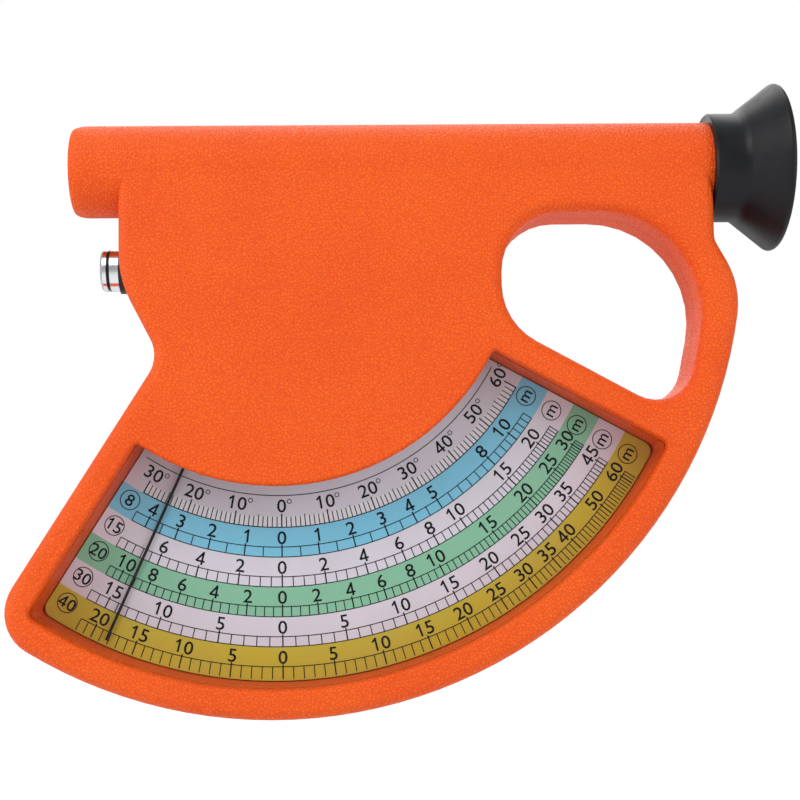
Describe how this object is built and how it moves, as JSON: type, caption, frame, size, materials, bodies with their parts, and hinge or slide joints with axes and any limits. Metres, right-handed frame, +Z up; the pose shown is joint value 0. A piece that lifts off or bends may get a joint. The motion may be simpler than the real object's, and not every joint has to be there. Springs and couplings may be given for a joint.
{
  "type": "hypsometer",
  "caption": "Hand-held pendulum hypsometer: orange fan-shaped body with sight tube, rubber eyecup, finger hole, release button and a windowed fan of height scales.",
  "frame": {"origin": "where the pendulum's axis meets the flat rear face of the body, at the mount rear_face", "axes": "+X along the sight tube towards the eyecup, +Y out of the rear face (the dial is on the -Y side), +Z up with the tube level"},
  "size_m": [0.1806, 0.0396, 0.1471],
  "materials": {
    "body": "fine grained orange moulding, satin",
    "window": "clear polished pane",
    "dial": "printed dial, satin",
    "steel": "plain steel",
    "liner": "black anodised, matt",
    "brass": "turned brass",
    "eyecup": "moulded black rubber, matt",
    "aluminium": "stamped sheet, plain",
    "hairline": "black painted strip",
    "sleeve": "black sleeves, matt",
    "chrome": "polished",
    "bush": "black, satin",
    "pad": "brown brake lining"
  },
  "bodies": {
    "body": {"front_shell": "body", "rear_shell": "body", "window_pane": "window", "dial_plate": "dial", "dial_screws": "steel", "sight_tube": "liner", "reticle_ring": "brass", "cross_wires": "steel", "peep_disc": "liner", "peep_retainer": "liner", "eyecup": "eyecup", "front_bearing": "brass", "rear_bearing": "brass", "stop_sleeves": "sleeve", "button_bush": "bush", "lever_pin": "steel", "lever_clip": "steel", "body_screws": "steel"},
    "pendulum": {"pendulum_shaft": "steel", "pendulum_hub": "brass", "brake_drum": "steel", "pendulum_arm": "aluminium", "pendulum_weight": "brass", "weight_rivets": "aluminium", "hairline": "hairline"},
    "button": {"release_button": "chrome", "plunger": "steel", "plunger_clip": "steel", "button_spring": "steel"},
    "lever": {"brake_lever": "aluminium", "brake_pad": "pad", "brake_spring": "steel"}
  },
  "joints": [
    {"name": "pendulum_swing", "type": "hinge", "parent": "body", "child": "pendulum", "pos_m": [0, 0, 0], "axis": [0, -1, 0], "range_deg": [-5.6, 84.4]},
    {"name": "button_press", "type": "slide", "parent": "body", "child": "button", "axis": [1, 0, 0], "range_m": [0, 0.0025], "stiffness_N_per_m": 400, "springref_m": -0.003, "deforming": ["button_spring"]},
    {"name": "brake_release", "type": "hinge", "parent": "body", "child": "lever", "pos_m": [-0.021, 0, -0.014], "axis": [0, 1, 0], "range_deg": [0, 20], "deforming": ["brake_spring"]}
  ],
  "couplings": [
    {"joint": "brake_release", "follows": "button_press", "rad_per_m": 114.94}
  ]
}
